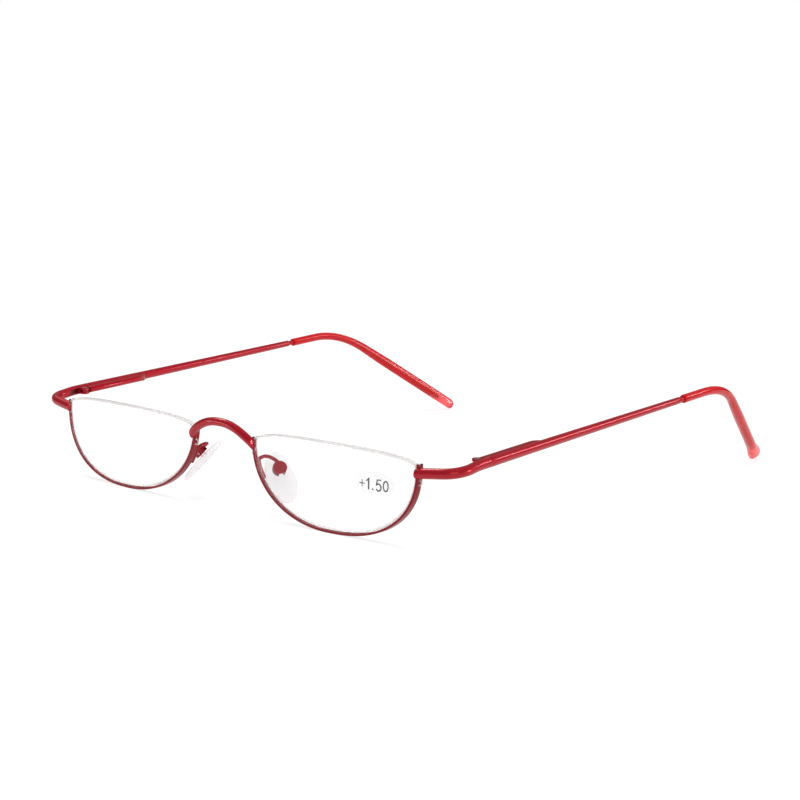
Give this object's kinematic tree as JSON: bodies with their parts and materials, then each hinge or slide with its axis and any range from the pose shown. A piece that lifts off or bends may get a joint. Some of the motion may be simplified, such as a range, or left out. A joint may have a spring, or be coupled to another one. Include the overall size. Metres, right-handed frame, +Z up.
{
  "type": "half-rim reading glasses",
  "caption": "Half-rim reading glasses with nylon-cord lenses, rocking nose pads, spring hinges and thin metal temples with translucent tips, standing open.",
  "frame": {"origin": "on the surface that the glasses stand on, under the middle of the closed-up box round them", "axes": "+Z up, -Y the way the wearer looks, +X the wearer's left; the temples run to +Y"},
  "size_m": [0.1378, 0.1493, 0.0257],
  "materials": {
    "metal": "glossy translucent red lacquer over bright metal",
    "steel": "plain",
    "lens": "clear, polished, with a matt ground edge",
    "nylon": "clear nylon",
    "pad": "clear soft plastic",
    "tip": "translucent glossy red"
  },
  "bodies": {
    "front": {"rim_left": "metal", "rim_right": "metal", "bridge": "metal", "end_piece_left": "metal", "end_piece_right": "metal", "lens_left": "lens", "lens_right": "lens", "liner_left": "nylon", "liner_right": "nylon", "cord_left": "nylon", "cord_right": "nylon", "pad_arm_left": "metal", "pad_arm_right": "metal", "pad_box_left": "metal", "pad_box_right": "metal", "pad_screw_left": "steel", "pad_screw_right": "steel", "hinge_fork_left": "metal", "hinge_fork_right": "metal"},
    "screw_left": {"hinge_screw_left": "steel"},
    "slider_left": {"slider_left": "steel", "slider_nut_left": "steel"},
    "temple_left": {"bush_left": "steel", "spring_left": "steel", "spring_box_left": "metal", "temple_tube_left": "metal", "core_wire_left": "steel", "temple_tip_left": "tip"},
    "pad_left": {"nose_pad_left": "pad"},
    "screw_right": {"hinge_screw_right": "steel"},
    "slider_right": {"slider_right": "steel", "slider_nut_right": "steel"},
    "temple_right": {"bush_right": "steel", "spring_right": "steel", "spring_box_right": "metal", "temple_tube_right": "metal", "core_wire_right": "steel", "temple_tip_right": "tip"},
    "pad_right": {"nose_pad_right": "pad"}
  },
  "joints": [
    {"name": "fold_left", "type": "hinge", "parent": "front", "child": "screw_left", "pos_m": [0.06535, -0.05922, 0.01887], "axis": [0, -0.0668, 0.9978], "range_deg": [0, 91]},
    {"name": "flex_left", "type": "hinge", "parent": "screw_left", "child": "slider_left", "pos_m": [0.06535, -0.05922, 0.01887], "axis": [0, 0.0668, -0.9978], "range_deg": [0, 8], "stiffness_Nm_per_rad": 0.3, "springref_deg": -4.58},
    {"name": "spring_slide_left", "type": "slide", "parent": "slider_left", "child": "temple_left", "axis": [-0.014, 0.9977, 0.0668], "range_m": [0, 0.00055], "deforming": ["spring_left"]},
    {"name": "pad_rock_left", "type": "hinge", "parent": "front", "child": "pad_left", "pos_m": [0.01376, -0.06674, 0.01099], "axis": [0.4681, 0.8712, 0.1482], "range_deg": [-8, 8]},
    {"name": "fold_right", "type": "hinge", "parent": "front", "child": "screw_right", "pos_m": [-0.06535, -0.05922, 0.01887], "axis": [0, 0.0668, -0.9978], "range_deg": [0, 78]},
    {"name": "flex_right", "type": "hinge", "parent": "screw_right", "child": "slider_right", "pos_m": [-0.06535, -0.05922, 0.01887], "axis": [0, -0.0668, 0.9978], "range_deg": [0, 8], "stiffness_Nm_per_rad": 0.3, "springref_deg": -4.58},
    {"name": "spring_slide_right", "type": "slide", "parent": "slider_right", "child": "temple_right", "axis": [0.014, 0.9977, 0.0668], "range_m": [0, 0.00055], "deforming": ["spring_right"]},
    {"name": "pad_rock_right", "type": "hinge", "parent": "front", "child": "pad_right", "pos_m": [-0.01376, -0.06674, 0.01099], "axis": [-0.4681, 0.8712, 0.1482], "range_deg": [-8, 8]}
  ],
  "couplings": [
    {"joint": "spring_slide_left", "follows": "flex_left", "m_per_rad": 0.0036},
    {"joint": "spring_slide_right", "follows": "flex_right", "m_per_rad": 0.0036}
  ]
}
